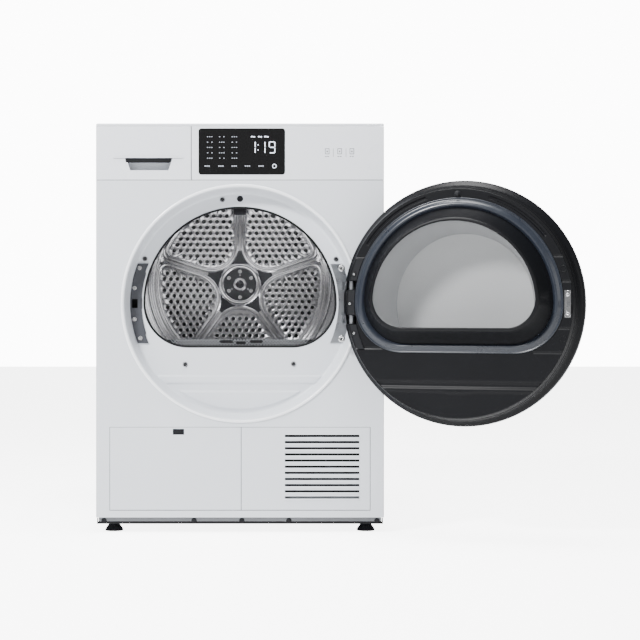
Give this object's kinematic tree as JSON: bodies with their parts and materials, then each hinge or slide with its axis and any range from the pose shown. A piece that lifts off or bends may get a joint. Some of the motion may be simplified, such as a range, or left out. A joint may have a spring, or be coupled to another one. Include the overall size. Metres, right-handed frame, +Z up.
{
  "type": "clothes dryer",
  "caption": "Front-loading heat-pump clothes dryer with a round door standing open, perforated drum, water drawer, display band, access flap and vent grille.",
  "frame": {"origin": "on the floor under the centre of the cabinet, midway between the four feet", "axes": "+Z up, front faces -Y, +X to the right seen from the front"},
  "size_m": [0.982, 0.8494, 0.845],
  "materials": {
    "cabinet_white": "smooth satin powder coat",
    "worktop_laminate": "white laminate on a light board core",
    "band_plastic": "fine satin moulded plastic",
    "display_glass": "polished black acrylic",
    "galvanised": "galvanised sheet",
    "drum_steel": "bright stainless sheet",
    "screw_steel": "zinc-plated, bright",
    "hinge_metal": "die-cast, satin",
    "black_plastic": "fine-grain moulded",
    "door_plastic": "dark grey moulded",
    "door_ring": "grey metallic lacquer",
    "door_glass": "clear, faint grey",
    "seal_rubber": "dark blue-grey EPDM",
    "felt": "pressed wool felt",
    "inner_plastic": "grey polypropylene",
    "belt_rubber": "ribbed belt",
    "cast_black": "black enamel",
    "motor_metal": "dipped, dark grey",
    "fin_aluminium": "bare fin stock",
    "tank_plastic": "translucent white polypropylene",
    "mesh_fabric": "polyester mesh",
    "chrome": "bright plated"
  },
  "bodies": {
    "cabinet": {"base_frame": "inner_plastic", "kick_strip": "galvanised", "back_panel": "galvanised", "rear_duct_cover": "galvanised", "top_panel": "worktop_laminate", "front_panel": "cabinet_white", "door_recess_panel": "cabinet_white", "opening_gasket": "seal_rubber", "fixed_screws": "screw_steel", "latch_cover": "black_plastic", "hinge_bracket": "hinge_metal", "control_fascia": "band_plastic", "display_window": "display_glass", "drum_front_support": "inner_plastic", "drum_seals": "felt", "rear_bearing_housing": "galvanised", "drum_belt": "belt_rubber", "motor_body": "motor_metal", "blower_housing": "inner_plastic", "heat_exchanger_housing": "inner_plastic", "compressor": "cast_black", "tank_guide": "inner_plastic", "vent_grille": "cabinet_white", "drum_light": "black_plastic", "cord_gland": "black_plastic", "side_panel_left": "cabinet_white", "side_panel_right": "cabinet_white", "evaporator": "fin_aluminium", "condenser": "fin_aluminium"},
    "door": {"door_outer_ring": "door_ring", "door_outer_window": "door_glass", "door_inner_frame": "door_plastic", "door_window_bowl": "door_glass", "door_gasket": "seal_rubber", "strike_plate": "chrome", "hinge_cover": "black_plastic", "hinge_leaf": "hinge_metal"},
    "drum": {"drum_shell": "drum_steel", "drum_rear_wall": "drum_steel", "drum_hub": "drum_steel", "hub_screws": "screw_steel", "drum_lifters": "inner_plastic"},
    "roller_left": {"front_roller_left": "black_plastic"},
    "roller_right": {"front_roller_right": "black_plastic"},
    "motor_shaft": {"motor_rotor": "galvanised", "blower_wheel": "inner_plastic"},
    "idler_arm_body": {"idler_arm": "galvanised"},
    "idler_wheel": {"idler_pulley": "black_plastic"},
    "water_drawer": {"tank_body": "tank_plastic", "tank_lid": "tank_plastic", "drawer_front": "band_plastic"},
    "lint_filter": {"lint_filter_frame": "black_plastic", "lint_filter_mesh": "mesh_fabric"},
    "flap": {"access_flap": "cabinet_white", "flap_latch": "black_plastic"},
    "foot_fl": {"foot_front_left": "black_plastic"},
    "foot_fr": {"foot_front_right": "black_plastic"},
    "foot_rl": {"foot_rear_left": "black_plastic"},
    "foot_rr": {"foot_rear_right": "black_plastic"},
    "door_switch": {"switch_plunger": "black_plastic"}
  },
  "joints": [
    {"name": "door_hinge", "type": "hinge", "parent": "cabinet", "child": "door", "pos_m": [0.231, -0.32, 0.473], "axis": [0, 0, 1], "range_deg": [-161, 0]},
    {"name": "drum_spin", "type": "hinge", "parent": "cabinet", "child": "drum", "pos_m": [0, 0, 0.515], "axis": [0, 1, 0], "continuous": true},
    {"name": "motor_spin", "type": "hinge", "parent": "cabinet", "child": "motor_shaft", "pos_m": [0.105, 0, 0.112], "axis": [0, 1, 0], "continuous": true},
    {"name": "roller_left_spin", "type": "hinge", "parent": "cabinet", "child": "roller_left", "pos_m": [-0.16, -0.196, 0.26913], "axis": [0, 1, 0], "continuous": true},
    {"name": "roller_right_spin", "type": "hinge", "parent": "cabinet", "child": "roller_right", "pos_m": [0.16, -0.196, 0.26913], "axis": [0, 1, 0], "continuous": true},
    {"name": "idler_arm_swing", "type": "hinge", "parent": "cabinet", "child": "idler_arm_body", "pos_m": [0.01, -0.047, 0.076], "axis": [0, 1, 0], "range_deg": [-12, 0], "stiffness_Nm_per_rad": 0.8, "springref_deg": 8.59},
    {"name": "idler_wheel_spin", "type": "hinge", "parent": "idler_arm_body", "child": "idler_wheel", "pos_m": [0.01145, -0.062, 0.14655], "axis": [0, 1, 0], "continuous": true},
    {"name": "drawer_slide", "type": "slide", "parent": "cabinet", "child": "water_drawer", "axis": [0, -1, 0], "range_m": [0, 0.41]},
    {"name": "filter_lift", "type": "slide", "parent": "cabinet", "child": "lint_filter", "axis": [0, 0, 1], "range_m": [0, 0.13]},
    {"name": "flap_hinge", "type": "hinge", "parent": "cabinet", "child": "flap", "pos_m": [-0.133, -0.2972, 0.055], "axis": [1, 0, 0], "range_deg": [0, 95]},
    {"name": "switch_press", "type": "slide", "parent": "cabinet", "child": "door_switch", "axis": [0, 1, 0], "range_m": [0, 0.004], "stiffness_N_per_m": 200},
    {"name": "foot_fl_turn", "type": "hinge", "parent": "cabinet", "child": "foot_fl", "pos_m": [-0.262, -0.262, 0], "axis": [0, 0, 1], "continuous": true},
    {"name": "foot_fr_turn", "type": "hinge", "parent": "cabinet", "child": "foot_fr", "pos_m": [0.262, -0.262, 0], "axis": [0, 0, 1], "continuous": true},
    {"name": "foot_rl_turn", "type": "hinge", "parent": "cabinet", "child": "foot_rl", "pos_m": [-0.262, 0.262, 0], "axis": [0, 0, 1], "continuous": true},
    {"name": "foot_rr_turn", "type": "hinge", "parent": "cabinet", "child": "foot_rr", "pos_m": [0.262, 0.262, 0], "axis": [0, 0, 1], "continuous": true}
  ],
  "couplings": [
    {"joint": "motor_spin", "follows": "drum_spin", "ratio": 19.603},
    {"joint": "roller_left_spin", "follows": "drum_spin", "ratio": -9.4643},
    {"joint": "roller_right_spin", "follows": "drum_spin", "ratio": -9.4643},
    {"joint": "idler_wheel_spin", "follows": "drum_spin", "ratio": -17.667}
  ]
}
